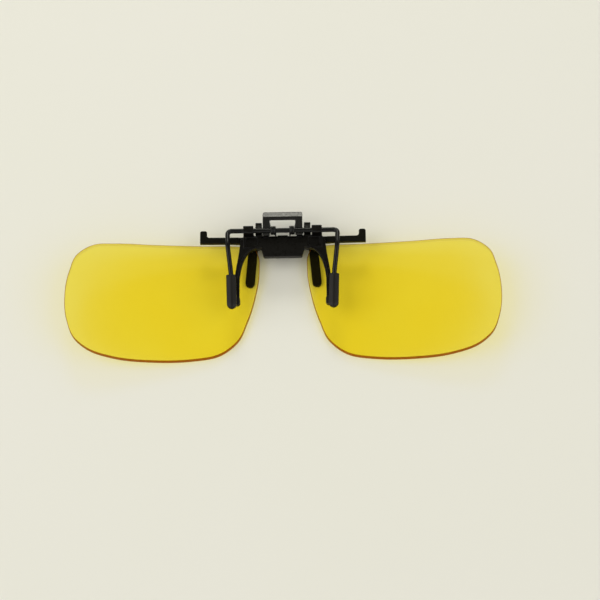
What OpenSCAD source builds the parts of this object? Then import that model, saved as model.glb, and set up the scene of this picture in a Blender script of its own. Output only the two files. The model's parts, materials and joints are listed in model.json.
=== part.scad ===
// Flip-up clip-on night driving glasses, lying on their front as they are put down on a table.
// X runs along the width, Y runs to the thumb lever (up, as worn) and Z runs up to the wearer's side.
// The origin is the middle of the footprint, on the table. Heights are measured up from it.

/* [Lenses] */
// Boxed width of one lens
lens_w = 58; // [55:0.5:61]
// Boxed height of one lens
lens_h = 36.6; // [34:0.2:40]
// Gap between the two lenses
lens_gap = 14.4; // [14.2:0.1:15]
// Thickness of a lens
lens_t = 1.8; // [1.5:0.1:2]
// Radius of the sphere that the front of a lens follows
lens_curve = 200; // [190:5:230]
// Turn of each lens toward the temple, in degrees
lens_wrap = 7; // [6:0.25:8]
// Tilt of the top of each lens toward the wearer, in degrees
lens_tilt = 4.5; // [4:0.25:5]

/* [Lens bridge] */
// Distance from the middle to the outer end of a lens arm
arm_reach = 25.1; // [23:0.1:27]
// Height of a lens arm as seen from the back
arm_h = 2; // [1.6:0.1:2.4]
// Thickness of a lens arm
arm_t = 1.15; // [0.9:0.05:1.3]
// How far the seat of a lens covers its top
seat_lap = 0.6; // [0.4:0.1:1]
// Plastic in front of and behind the lens in the groove of its seat
seat_lip = 0.55; // [0.4:0.05:0.6]
// Width of the upturned tab at the end of an arm
tab_w = 2.1; // [1.6:0.1:2.4]
// Height of the tab above its arm
tab_rise = 2.2; // [1.4:0.1:2.6]
// Width of the prong that carries the nose edge of a lens
prong_w = 2.85; // [2.2:0.05:3]
// Length of a prong below the top of its lens
prong_l = 12.1; // [9:0.1:14]
// Thickness of a prong
prong_t = 1.1; // [0.8:0.1:1.3]
// Thickness of the front plate
front_t = 2.2; // [1.8:0.1:2.4]
// Radius of an ear round the hinge pin
ear_r = 1.85; // [1.7:0.05:1.95]
// Thickness of an ear
ear_t = 1.9; // [1.5:0.1:2]

/* [Flip hinge] */
// Radius of the hinge pin
pin_r = 0.5; // [0.4:0.05:0.6]
// Height of the hinge pin above the top of the lenses
hinge_rise = 4.5; // [4.4:0.05:4.8]
// Height of the hinge pin above the table
hinge_z = 5.5; // [5.4:0.05:5.6]
// Radius of a clamp lug round the hinge pin
lug_r = 1.7; // [1.5:0.05:1.75]
// Width of a clamp lug
lug_t = 1.7; // [1.5:0.1:1.8]
// Thickness of the detent leaf
leaf_t = 0.3; // [0.2:0.05:0.35]

/* [Clamp base] */
// Width of the tongue where it meets the shoulders
tongue_w = 13; // [12.6:0.1:13.4]
// Amount that the tongue narrows toward its lower edge
tongue_taper = 1.2; // [0.8:0.1:1.6]
// Height of the tongue plate
tongue_h = 7; // [6.5:0.1:7.4]
// Thickness of the tongue plate
tongue_t = 1.7; // [1.4:0.1:1.7]
// Height of the tongue's front face above the table
tongue_z = 5.9; // [5.85:0.05:6]
// Distance from the middle to the inner side of a wire knuckle
knuckle_x = 8.8; // [8.7:0.1:9]
// Width of a wire knuckle
knuckle_w = 3.05; // [2.6:0.05:3.1]
// Distance from the middle to the middle of a jaw leg at its tip
jaw_x = 13.75; // [13.6:0.05:13.8]
// Width of a jaw leg at its tip
jaw_w = 1.45; // [1.3:0.05:1.5]
// Length of a jaw leg below the hinge pin
jaw_l = 24.6; // [23:0.2:26]
// Thickness of a jaw leg
jaw_t = 1.3; // [1.1:0.05:1.35]
// Slope of a jaw leg toward the front, in degrees
jaw_drop = 2.5; // [2.2:0.1:3]

/* [Claw] */
// Diameter of the claw wire
wire_d = 1.45; // [1.3:0.05:1.5]
// Distance from the middle to the middle of the wire at its bends
wire_x = 16.6; // [16.3:0.1:16.9]
// Radius of a bend of the wire, to the middle of the wire
bend_r = 1.4; // [1.2:0.05:1.6]
// Length of a rubber sleeve
sleeve_l = 10.6; // [9.6:0.2:11.4]
// Width of a rubber sleeve
sleeve_w = 3; // [2.6:0.1:3.1]
// Thickness of the flat of a rubber sleeve
sleeve_t = 1.7; // [1.5:0.1:1.8]
// Width of the thumb lever
lever_w = 12; // [11.4:0.1:12.2]
// Width of the window in the thumb lever
window_w = 7.7; // [7.6:0.1:7.8]
// Distance of the window's top from the knee of the lever
window_rise = 0.75; // [0.4:0.05:1]
// Thickness of the thumb lever
lever_t = 0.95; // [0.8:0.05:1]
// Length of the thumb lever from the wire to the knee
lever_l = 4.2; // [3.8:0.1:4.4]
// Length of the bent thumb band beyond the knee
band_l = 2.1; // [1.6:0.1:2.4]

/* [Torsion spring] */
// Diameter of the spring wire
spring_d = 0.4; // [0.3:0.02:0.4]
// Radius of the coils, to the middle of the wire
coil_r = 1.14; // [1.12:0.01:1.16]
// Rise of the coils along the wire in one turn
coil_pitch = 0.84; // [0.82:0.01:0.86]

/* [Fits] */
// Radial clearance of a turning fit
run_fit = 0.05; // [0.03:0.01:0.08]
// Radial clearance of a seated or glued fit
seat_fit = 0.03; // [0.02:0.01:0.05]
// Clearance between pieces that move past each other
move_gap = 0.35; // [0.3:0.01:0.36]

/* [Hidden] */

// Lens outline from the nose edge round the top, as shares of half the boxed width and height
LENS_OUTLINE = [
    [-1, 0.62], [-0.99, 0.83], [-0.93, 0.97], [-0.81, 0.99], [-0.4, 1], [0.1, 1], [0.49, 0.99], [0.7, 0.95],
    [0.88, 0.76], [0.955, 0.48], [1, 0], [0.975, -0.37], [0.875, -0.71], [0.74, -0.86], [0.49, -0.965],
    [0.08, -1], [-0.29, -0.968], [-0.57, -0.883], [-0.768, -0.65], [-0.874, -0.3], [-0.955, 0.12],
];
OUTLINE_STEPS = 5;

// The sphere of the lens fronts
lens_mid_x = (lens_gap + lens_w) / 2;
sphere_x = lens_mid_x - lens_curve * sin(lens_wrap);
sphere_y = -lens_curve * sin(lens_tilt);
lens_top = lens_h / 2;
lens_box_z = 16;

// Lens bridge
arm_start = 8.2;
arm_low = lens_top + 0.1;
arm_z = front_z(arm_start, lens_top) + lens_t + 0.5;
arm_slope = atan((front_z(arm_reach, lens_top) - front_z(arm_start, lens_top)) / (arm_reach - arm_start));
seat_end = 12.6;
seat_z = front_z(arm_start, lens_top) - seat_lip;
seat_depth = lens_t + 2 * seat_lip + 0.05;
seat_start = arm_start - 1;
riser_x = 13.4;
riser_w = 1;
neck_t = 1.1;
neck_low = arm_low + 0.35;
neck_h = arm_h + 0.05;
neck_lap = 1;
root_x = arm_start - 1.8;
root_y = lens_top + 1.1;
root_h = 2;
prong_x = 9.15;
prong_top = 0.9;
prong_lean = 5.2;
root_w = 2.9;
front_low = 2.1;
front_side = 5.8;
front_out = arm_start + 0.2;
ear_x = 6.4;
ear_cap = 0.5;
ear_cap_low = 2;
ear_cap_high = 1.3;

// Flip hinge
hinge_y = lens_top + hinge_rise;
lug_in = 4.2;
lug_x = lug_in + lug_t;
hub_r = 0.95;
hub_x = ear_x - 0.25;
detent_depth = 0.15;
leaf_w = 1.3;
stake_x = 2.6;
stake_r = 0.55;

// Clamp base, whose top edge stays clear of the wire that turns over it
axle_y = hinge_y - 1.6;
shoulder_y = axle_y - wire_d / 2 - 0.05;
tongue_top = shoulder_y;
tongue_low = tongue_top - tongue_h;
tongue_back = tongue_z + tongue_t;
arch_y = tongue_top - 4.1;
axle_z = tongue_back + 1.7;
knuckle_out = knuckle_x + knuckle_w;
knuckle_half = 1.25;
jaw_tip_y = hinge_y - jaw_l;
jaw_straight_y = hinge_y - 16.3;
rib_rise = 0.35;
shoulder_wall = 0.6;
pad_l = 2.6;
pad_wall = 0.4;
stub_w = jaw_w - 0.3;

// Claw
wire_r = wire_d / 2;
claw_rise = 13.5;
kink_x = wire_x - 0.15;
kink_y = axle_y - 5.6;
kink_z = axle_z + (axle_y - kink_y) * tan(claw_rise);
sleeve_x = 15.45;
sleeve_lean = 0.028;
sleeve_wall = 0.35;
claw_dive = 10.5;
claw_fall = 4.2;
mouth_y = kink_y - 8.5;
mouth_z = kink_z - (kink_y - mouth_y) * tan(claw_dive);
wire_in = sleeve_l - sleeve_w / 2;
WIRE_SIDES = 16;
foot_r = 1.5;
lever_angle = 12;
band_angle = -15;
lever_face = 0.22;
lever_tip_y = axle_y + lever_l * cos(lever_angle) + band_l * cos(band_angle);

// Moves the lens middle so that the origin is the middle of the footprint
frame_y = (lens_top - lever_tip_y) / 2;

// Torsion spring, right half, as corners of its straight runs
spring_r = spring_d / 2;
coil_x = window_w / 2 - spring_r - 0.15;
leg_l = 2.9;
hook_l = 1.4;
drop_y = tongue_top + spring_r + 0.12;
under_z = tongue_z - spring_r - 0.1;
under_y = tongue_top - 1.7;
coil_from = lever_angle - 90;
drop_in = [drop_y - axle_y, tongue_back - 0.15 - axle_z];
coil_to = atan2(drop_in[1], drop_in[0]) + acos(coil_r / norm(drop_in)) - 720;
coil_turns = (coil_from - coil_to) / 360;
coil_end_x = coil_x - coil_turns * coil_pitch;

// Height of the front or back sphere of the right lens over a point
function front_z(x, y) = lens_curve - sqrt(pow(lens_curve, 2) - pow(x - sphere_x, 2) - pow(y - sphere_y, 2));

// Points on an arc
function arc(centre, r, from, to, steps = 8) =
    [for (i = [0:steps]) centre + r * [cos(from + (to - from) * i / steps), sin(from + (to - from) * i / steps)]];

// A rectangle with rounded corners
function round_rect(low, high, r) = concat(
    arc([high[0] - r, high[1] - r], r, 0, 90, 4),
    arc([low[0] + r, high[1] - r], r, 90, 180, 4),
    arc([low[0] + r, low[1] + r], r, 180, 270, 4),
    arc([high[0] - r, low[1] + r], r, 270, 360, 4)
);

// Points on a cubic curve with two end points and two handles
function bezier(a, b, c, d, steps = 12) =
    [for (i = [0:steps]) let (t = i / steps, s = 1 - t)
        s * s * s * a + 3 * s * s * t * b + 3 * s * t * t * c + t * t * t * d];

function unit(v) = v / norm(v);

// Tangent at a knot of a closed curve, weighted by the distances to its neighbours
function knot_tangent(p, i) =
    let (n = len(p), back = p[i] - p[(i + n - 1) % n], ahead = p[(i + 1) % n] - p[i], a = norm(back), b = norm(ahead))
    (back * b / a + ahead * a / b) / (a + b);

// A smooth closed curve through its knots
function smooth_loop(p, steps) =
    [for (i = [0:len(p) - 1]) let (j = (i + 1) % len(p), d = norm(p[j] - p[i]), m = knot_tangent(p, i), n = knot_tangent(p, j))
        for (k = [0:steps - 1]) let (t = k / steps, u = t * t, w = t * t * t)
            (2 * w - 3 * u + 1) * p[i] + (w - 2 * u + t) * d * m + (3 * u - 2 * w) * p[j] + (w - u) * d * n];

// A path of straight runs with each inner corner rounded over a distance
function rounded_path(p, r, steps = 4) = concat(
    [p[0]],
    [for (i = [1:len(p) - 2]) let (a = p[i] + r * unit(p[i - 1] - p[i]), b = p[i] + r * unit(p[i + 1] - p[i]))
        for (k = [0:steps]) let (t = k / steps) (1 - t) * (1 - t) * a + 2 * t * (1 - t) * p[i] + t * t * b],
    [p[len(p) - 1]]
);

// Lens outline grown all round by a clearance
function lens_loop(grow) =
    [for (p = smooth_loop(LENS_OUTLINE, OUTLINE_STEPS))
        [lens_mid_x + p[0] * (lens_w / 2 + grow), p[1] * (lens_h / 2 + grow)]];

module placed() {
    translate([0, frame_y, 0]) children();
}

module both_sides() {
    children();
    mirror([1, 0, 0]) children();
}

// Extrudes a profile that is drawn in Y and Z along X
module along_x(from, to) {
    translate([from, 0, 0]) rotate([90, 0, 90]) linear_extrude(to - from) children();
}

module rod_x(from, to, y, z, r) {
    translate([from, y, z]) rotate([0, 90, 0]) cylinder(r = r, h = to - from, $fn = 48);
}

// The right lens, or the space that it needs when grown by a clearance
module lens_shell(grow) {
    intersection() {
        linear_extrude(lens_box_z) polygon(lens_loop(grow));
        difference() {
            translate([sphere_x, sphere_y, lens_curve]) sphere(r = lens_curve + grow, $fn = 360);
            translate([sphere_x, sphere_y, lens_curve]) sphere(r = lens_curve - lens_t - grow, $fn = 360);
        }
    }
}

module lens_left() {
    color([0.93, 0.83, 0.16, 0.6]) placed() mirror([1, 0, 0]) lens_shell(0);
}

module lens_right() {
    color([0.93, 0.83, 0.16, 0.6]) placed() lens_shell(0);
}

// Front plate that joins the two sides, lower in the middle than at its sides
module bridge_front() {
    corner = 1;
    middle_top = hinge_y - 0.5;
    outline = concat(
        arc([front_side - corner, lens_top - front_low + corner], corner, -90, 0, 4),
        [[front_side, root_y], [front_out, root_y], [front_out, hinge_y + ear_r],
            [ear_x, hinge_y + ear_r], [ear_x, middle_top], [0, middle_top], [0, lens_top - front_low]]
    );
    both_sides() linear_extrude(front_t) polygon(outline);
}

// Ear that holds one end of the hinge pin
module bridge_ear() {
    along_x(ear_x, ear_x + ear_t) difference() {
        union() {
            translate([hinge_y, hinge_z]) circle(r = ear_r, $fn = 64);
            translate([hinge_y - ear_r, 0]) square([2 * ear_r, hinge_z]);
            polygon(round_rect([hinge_y, hinge_z - ear_cap_low], [hinge_y + ear_r + ear_cap, hinge_z + ear_cap_high], 0.4));
        }
        translate([hinge_y, hinge_z]) circle(r = pin_r + seat_fit, $fn = 48);
    }
}

// Places a shape along the top of the lens from the start of the arm, at a height above the table
module on_slope(z) {
    translate([arm_start, 0, z]) rotate([0, -arm_slope, 0]) children();
}

// Arm with its upturned tab, behind the top of the lens and sloped to follow its wrap
module bridge_arm() {
    length = arm_reach - arm_start;
    high = arm_low + arm_h;
    corner = 0.6;
    fillet = 0.7;
    outline = concat(
        [[riser_x - arm_start, arm_low], [length, arm_low]],
        arc([length - corner, high + tab_rise - corner], corner, 0, 90, 3),
        arc([length - tab_w + corner, high + tab_rise - corner], corner, 90, 180, 3),
        arc([length - tab_w - fillet, high + fillet], fillet, 0, -90, 4),
        [[riser_x - arm_start, high]]
    );
    neck_z = tongue_z - move_gap - neck_t;
    on_slope(arm_z) linear_extrude(arm_t) polygon(outline);
    neck_from = seat_end - neck_lap;
    translate([neck_from, neck_low, neck_z]) cube([riser_x + riser_w - neck_from, neck_h, neck_t]);
    translate([riser_x, neck_low, neck_z]) cube([riser_w, arm_low + arm_h - neck_low, arm_z + arm_t - neck_z]);
}

// Grooved seat that holds the top of the lens at its nose end
module bridge_seat() {
    low = lens_top - seat_lap;
    on_slope(seat_z) translate([seat_start - arm_start, low, 0])
        cube([seat_end - seat_start, arm_low + arm_h - low, seat_depth]);
}

// Block that ties the front plate, the ear and the seat together
module bridge_root() {
    translate([root_x, root_y, 0]) cube([root_w, root_h, seat_z + seat_depth]);
}

// Prong that lies against the front of the lens along its nose edge
module bridge_prong() {
    outline = concat(
        [[prong_w / 2, prong_top], [-prong_w / 2, prong_top]],
        arc([0, prong_w / 2 - prong_l], prong_w / 2, 180, 360, 12)
    );
    intersection() {
        translate([prong_x, lens_top, 0]) rotate([0, 0, prong_lean]) linear_extrude(lens_box_z) polygon(outline);
        difference() {
            translate([sphere_x, sphere_y, lens_curve])
                sphere(r = lens_curve + seat_fit + prong_t, $fn = 360);
            translate([sphere_x, sphere_y, lens_curve]) sphere(r = lens_curve + seat_fit, $fn = 360);
        }
    }
}

// Heat-staked post that holds the detent leaf
module leaf_stake() {
    translate([stake_x, lens_top - 0.6, front_t - 0.2]) cylinder(r = stake_r, h = leaf_t + 0.45, $fn = 32);
}

module lens_bridge() {
    color([0.06, 0.06, 0.055]) placed() {
        bridge_front();
        both_sides() {
            bridge_ear();
            bridge_root();
            bridge_prong();
            leaf_stake();
            bridge_arm();
            difference() {
                bridge_seat();
                lens_shell(seat_fit);
            }
        }
    }
}

module hinge_pin() {
    reach = ear_x + ear_t - 0.1;
    color([0.55, 0.55, 0.54]) placed() rod_x(-reach, reach, hinge_y, hinge_z, pin_r);
}

// Spring leaf whose two fingers press up on the lugs and click at each end of the flip
module detent_leaf() {
    rest_y = lens_top - 1.7;
    bend_y = lens_top + 1.2;
    tip_z = hinge_z - lug_r - leaf_t - 0.08;
    finger = [
        [bend_y - 0.2, front_t], [bend_y, front_t], [hinge_y, tip_z], [hinge_y + 0.5, tip_z - 0.3],
        [hinge_y + 0.5, tip_z - 0.3 + leaf_t], [hinge_y, tip_z + leaf_t], [bend_y, front_t + leaf_t],
        [bend_y - 0.2, front_t + leaf_t],
    ];
    color([0.62, 0.62, 0.6]) placed() {
        difference() {
            translate([-lug_x, rest_y, front_t]) cube([2 * lug_x, bend_y - rest_y, leaf_t]);
            both_sides() translate([stake_x, lens_top - 0.6, front_t - 0.1])
                cylinder(r = stake_r + seat_fit, h = leaf_t + 0.2, $fn = 32);
        }
        both_sides() along_x(lug_x - leaf_w, lug_x) polygon(finger);
    }
}

// Plate whose back rests on the bridge of the spectacles
module base_tongue() {
    top_half = tongue_w / 2;
    low_half = top_half - tongue_taper / 2;
    corner = 0.45;
    right = concat(
        [[0, tongue_low]],
        arc([low_half - corner, tongue_low + corner], corner, -90, 0, 4),
        [[top_half, arch_y], [top_half, tongue_top], [0, tongue_top]]
    );
    both_sides() translate([0, 0, tongue_z]) linear_extrude(tongue_t) polygon(right);
}

// Curve of the inner edge of a jaw leg, from the arch to the straight part
function jaw_inner() =
    let (x = jaw_x - jaw_w / 2, y = jaw_straight_y)
    bezier([tongue_w / 2 + 1.1, arch_y], [x - 1.8, arch_y - 0.1], [x - 0.4, y + 4.7], [x, y]);

// Curve of the outer edge of a jaw leg, from the straight part up to the shoulder
function jaw_outer() =
    let (x = jaw_x + jaw_w / 2, y = jaw_straight_y)
    bezier([x, y], [x - 0.15, y + 4], [x - 1.4, y + 7.5], [knuckle_out + 1.05, shoulder_y - 1.6]);

// Leg in front of the spectacle lens, with a stub for its rubber pad
module base_jaw() {
    stub_y = jaw_tip_y + pad_l;
    outline = concat(
        jaw_inner(),
        [[jaw_x - jaw_w / 2, stub_y], [jaw_x - stub_w / 2, stub_y]],
        arc([jaw_x, jaw_tip_y + pad_wall + stub_w / 2], stub_w / 2, 180, 360, 6),
        [[jaw_x + stub_w / 2, stub_y], [jaw_x + jaw_w / 2, stub_y]],
        jaw_outer(),
        [[knuckle_out, shoulder_y], [tongue_w / 2 - 0.3, shoulder_y], [tongue_w / 2 - 0.3, arch_y]]
    );
    jaw_place() linear_extrude(jaw_t) polygon(outline);
    rib = jaw_inner();
    jaw_place() linear_extrude(jaw_t + rib_rise) polygon(concat(
        rib,
        [for (i = [len(rib) - 1:-1:0]) rib[i] + [0.55, 0.2]]
    ));
}

// Slopes a leg toward the front from the line of the arch
module jaw_place() {
    translate([0, arch_y, tongue_z]) rotate([jaw_drop, 0, 0]) translate([0, -arch_y, 0]) children();
}

// Shoulder with a cored hollow, between the tongue and the knuckle
module base_shoulder() {
    low = arch_y + 0.15;
    side = tongue_w / 2 - 0.15;
    hollow_low = [tongue_w / 2 + 1.2, low + shoulder_wall];
    hollow_high = [knuckle_out - shoulder_wall, shoulder_y - 0.4];
    difference() {
        translate([side, low, tongue_z]) cube([knuckle_out - side, shoulder_y - low, tongue_t]);
        translate([0, 0, tongue_z + shoulder_wall]) linear_extrude(tongue_t) polygon(round_rect(hollow_low, hollow_high, 0.6));
    }
}

// Knuckle that the wire turns in
module base_knuckle() {
    low = [axle_y - knuckle_half, tongue_z - 0.05];
    high = [axle_y + knuckle_half, axle_z + knuckle_half];
    along_x(knuckle_x, knuckle_out) difference() {
        polygon(round_rect(low, high, 0.45));
        translate([axle_y, axle_z]) circle(r = wire_r + run_fit, $fn = 48);
    }
}

// Lug that turns on the hinge pin, with a flat at each end of the flip for the detent leaf
module base_lug() {
    neck_z = tongue_back - 0.15;
    neck = [
        [tongue_top - 0.6, tongue_z], [tongue_top - 0.6, neck_z], [axle_y, neck_z], [hinge_y - 0.5, neck_z - 0.45],
        [hinge_y, hinge_z], [hinge_y - 1.3, hinge_z - 1.05],
    ];
    along_x(lug_in, lug_x) difference() {
        union() {
            translate([hinge_y, hinge_z]) circle(r = lug_r, $fn = 64);
            polygon(neck);
        }
        translate([hinge_y, hinge_z]) circle(r = pin_r + run_fit, $fn = 48);
        translate([hinge_y - 1, hinge_z - lug_r - 1 + detent_depth]) square([2, 1]);
        translate([hinge_y + lug_r - detent_depth, hinge_z - 1]) square([1, 2]);
    }
    along_x(lug_x, hub_x) translate([hinge_y, hinge_z]) difference() {
        circle(r = hub_r, $fn = 48);
        circle(r = pin_r + run_fit, $fn = 48);
    }
}

// Relief under a coil and a foot of the thumb lever, cut into the top edge of the tongue
module foot_relief() {
    side = coil_end_x - spring_r - 0.15;
    translate([0, 0, tongue_back - 0.6]) linear_extrude(2)
        polygon(round_rect([side, tongue_top - 1.1], [lever_w / 2 + 0.3, tongue_top + 1], 0.5));
}

module clamp_base() {
    color([0.09, 0.085, 0.08]) placed() {
        difference() {
            base_tongue();
            both_sides() foot_relief();
        }
        both_sides() {
            base_jaw();
            base_shoulder();
            base_knuckle();
            base_lug();
        }
    }
}

// Rubber cap on the stub of a jaw leg
module jaw_pad() {
    half = jaw_w / 2 + 0.2;
    top = jaw_tip_y + pad_l - 0.05;
    jaw_place() difference() {
        translate([0, 0, -0.3]) linear_extrude(jaw_t + 0.6)
            polygon(round_rect([jaw_x - half, jaw_tip_y], [jaw_x + half, top], half - 0.1));
        translate([0, 0, -seat_fit]) linear_extrude(jaw_t + 2 * seat_fit) polygon(concat(
            arc([jaw_x, jaw_tip_y + pad_wall + stub_w / 2], stub_w / 2 + seat_fit, 180, 360, 6),
            [[jaw_x + stub_w / 2 + seat_fit, top + 1], [jaw_x - stub_w / 2 - seat_fit, top + 1]]
        ));
    }
}

module jaw_pad_left() {
    color([0.1, 0.1, 0.09]) placed() mirror([1, 0, 0]) jaw_pad();
}

module jaw_pad_right() {
    color([0.1, 0.1, 0.09]) placed() jaw_pad();
}

// A straight length of round bar between two points
module bar(from, to, r) {
    run = to - from;
    turn = [0, acos(run[2] / norm(run)), atan2(run[1], run[0])];
    translate(from) rotate(turn) cylinder(r = r, h = norm(run), $fn = 48);
}

// Corners of the right half of the claw wire
KNUCKLE_CORNER = [wire_x, axle_y, axle_z];
KINK = [kink_x, kink_y, kink_z];
SLEEVE_MOUTH = [sleeve_x, mouth_y, mouth_z];
SLEEVE_RUN = unit([-sleeve_lean, -1, -tan(claw_fall)]);
WIRE_END = SLEEVE_MOUTH + wire_in * SLEEVE_RUN;
WIRE_HALF = [KNUCKLE_CORNER, KINK, SLEEVE_MOUTH, WIRE_END];

// One steel wire: the axle across the knuckles, a bend at each end and an arm down to each sleeve
module claw_wire() {
    arm_from = knuckle_out + 2.4;
    arm_lap_x = 0.1;
    arm_r = (wire_r + 0.01) / cos(180 / WIRE_SIDES);
    arm = rounded_path(concat([[arm_from, axle_y, axle_z]], WIRE_HALF), bend_r, 6);
    color([0.17, 0.17, 0.16]) placed() {
        rod_x(-arm_from - arm_lap_x, arm_from + arm_lap_x, axle_y, axle_z, wire_r);
        both_sides() tube(arm, arm_r, WIRE_SIDES);
    }
}

// Rubber sleeve, flat where it grips and swollen over the wire, with a round end
module sleeve() {
    half = sleeve_w / 2;
    round_l = sleeve_l - half;
    soft = 0.3;
    outline = concat(
        arc([0, 0], half, 180, 360, 16),
        arc([half - soft, round_l - soft], soft, 0, 90, 3),
        arc([soft - half, round_l - soft], soft, 90, 180, 3)
    );
    swell_r = wire_r + sleeve_wall;
    swell_z = 0.05;
    top = SLEEVE_MOUTH + 0.4 * SLEEVE_RUN;
    difference() {
        translate(top) rotate([claw_fall, 0, 0]) rotate([0, 0, -atan(sleeve_lean)]) translate([0, -round_l, 0]) {
            translate([0, 0, -sleeve_t / 2]) linear_extrude(sleeve_t) polygon(outline);
            translate([0, 0, swell_z]) rotate([-90, 0, 0]) cylinder(r = swell_r, h = round_l, $fn = 48);
            translate([0, 0, swell_z]) sphere(r = swell_r, $fn = 48);
        }
        bar(top - SLEEVE_RUN, WIRE_END + 0.1 * SLEEVE_RUN, wire_r + 0.02 + seat_fit);
    }
}

module sleeve_left() {
    color([0.14, 0.13, 0.12]) placed() mirror([1, 0, 0]) sleeve();
}

module sleeve_right() {
    color([0.14, 0.13, 0.12]) placed() sleeve();
}

// Side view of the thumb lever: a foot that cradles the wire, a flat frame and a bent thumb band
function lever_profile() =
    let (
        axle = [axle_y, axle_z],
        along = [cos(lever_angle), sin(lever_angle)],
        off = [-sin(lever_angle), cos(lever_angle)],
        band = [cos(band_angle), sin(band_angle)],
        band_off = [-sin(band_angle), cos(band_angle)],
        under = lever_t - lever_face,
        knee = axle + lever_l * along + lever_face * off,
        tip = knee + (band_l - lever_t / 2) * band,
        inner = knee - lever_t * unit(off + band_off) / cos((lever_angle - band_angle) / 2)
    )
    concat(
        arc(axle, foot_r, 180 + lever_angle - asin(lever_face / foot_r), 360 + lever_angle - asin(under / foot_r), 20),
        [inner],
        arc(tip - (lever_t / 2) * band_off, lever_t / 2, band_angle - 90, band_angle + 90, 8),
        [knee]
    );

module thumb_lever() {
    half = lever_w / 2;
    corner = 0.9;
    window_top = axle_y + lever_l * cos(lever_angle) - window_rise;
    plan = concat(
        [[-half, axle_y - foot_r - 1], [half, axle_y - foot_r - 1]],
        arc([half - corner, lever_tip_y - corner], corner, 0, 90, 6),
        arc([corner - half, lever_tip_y - corner], corner, 90, 180, 6)
    );
    color([0.16, 0.155, 0.14]) placed() difference() {
        intersection() {
            along_x(-half, half) polygon(lever_profile());
            linear_extrude(lens_box_z) polygon(plan);
        }
        rod_x(-half - 1, half + 1, axle_y, axle_z, wire_r + seat_fit);
        translate([-half - 1, axle_y - wire_r - seat_fit, axle_z])
            cube([2 * half + 2, 2 * (wire_r + seat_fit), foot_r + 1]);
        linear_extrude(lens_box_z) polygon(round_rect(
            [-window_w / 2, axle_y - foot_r - 2], [window_w / 2, window_top], 0.35));
    }
}

function on_coil(angle, x) = [x, axle_y + coil_r * cos(angle), axle_z + coil_r * sin(angle)];

// Middle line of the right half of the spring, from the hook under the lever to the middle of the bow
function spring_half() =
    let (
        start = on_coil(coil_from, coil_x),
        leg_end = start + leg_l * [0, cos(lever_angle), sin(lever_angle)],
        turns = ceil(coil_turns * 8),
        x = coil_end_x
    )
    concat(
        rounded_path([leg_end + [hook_l, 0, 0], leg_end, start + [0, 0.2 * cos(lever_angle), 0.2 * sin(lever_angle)]], 0.45),
        [for (i = [0:turns]) on_coil(coil_from - 360 * coil_turns * i / turns, coil_x - coil_turns * coil_pitch * i / turns)],
        rounded_path([
            [x, axle_y + drop_in[0] * 0.7, axle_z + drop_in[1] * 0.85],
            [x, drop_y, tongue_back - 0.6], [x, drop_y, under_z], [x, under_y, under_z], [0, under_y, under_z],
        ], 0.4)
    );

function mirrored(path) = [for (i = [len(path) - 2:-1:0]) [-path[i][0], path[i][1], path[i][2]]];

function path_tangent(p, i) = unit(p[min(i + 1, len(p) - 1)] - p[max(i - 1, 0)]);

// Normals that are carried along the path with no twist
function carried_normals(p) =
    [for (i = 0, u = [0, 0, 1]; i < len(p); i = i + 1,
        u = i < len(p) ? unit(u - (u * path_tangent(p, i)) * path_tangent(p, i)) : u) u];

// Rings of a round tube that is swept along a path, closed at both ends
module tube(path, r, sides) {
    normals = carried_normals(path);
    rings = [for (i = [0:len(path) - 1]) let (t = path_tangent(path, i), v = cross(t, normals[i]))
        for (k = [0:sides - 1]) path[i] + r * (cos(360 * k / sides) * normals[i] + sin(360 * k / sides) * v)];
    last = (len(path) - 1) * sides;
    faces = concat(
        [[for (k = [0:sides - 1]) k]],
        [for (i = [0:len(path) - 2]) for (k = [0:sides - 1]) for (half = [0, 1])
            let (a = i * sides + k, b = i * sides + (k + 1) % sides)
            half == 0 ? [a, a + sides, b + sides] : [a, b + sides, b]],
        [[for (k = [sides - 1:-1:0]) last + k]]
    );
    polyhedron(rings, faces, convexity = 6);
}

// Double torsion spring in one unbroken wire: hooks under the lever, a bow under the tongue
module torsion_spring() {
    path = concat(spring_half(), mirrored(spring_half()));
    near = 5;
    gaps = [for (i = [0:len(path) - 1]) for (j = [i + near:1:len(path) - 1]) norm(path[i] - path[j]) - spring_d];
    echo("Least gap of the torsion spring to itself, mm", min(gaps));
    color([0.42, 0.42, 0.41]) placed() tube(path, spring_r, 6);
}

lens_left();
lens_right();
lens_bridge();
hinge_pin();
detent_leaf();
clamp_base();
jaw_pad_left();
jaw_pad_right();
claw_wire();
thumb_lever();
torsion_spring();
sleeve_left();
sleeve_right();
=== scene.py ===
"""Flip-up clip-on night driving glasses: the finish of every piece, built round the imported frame.

All sizes in the classes of the part are in millimetres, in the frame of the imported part. X is the width,
Y runs to the thumb lever and Z up from the table to the wearer's side.
"""

import json
import logging
import math
from dataclasses import dataclass, field
from enum import Enum

import bmesh
import bpy
import numpy as np
from mathutils import Matrix, Vector


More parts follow.
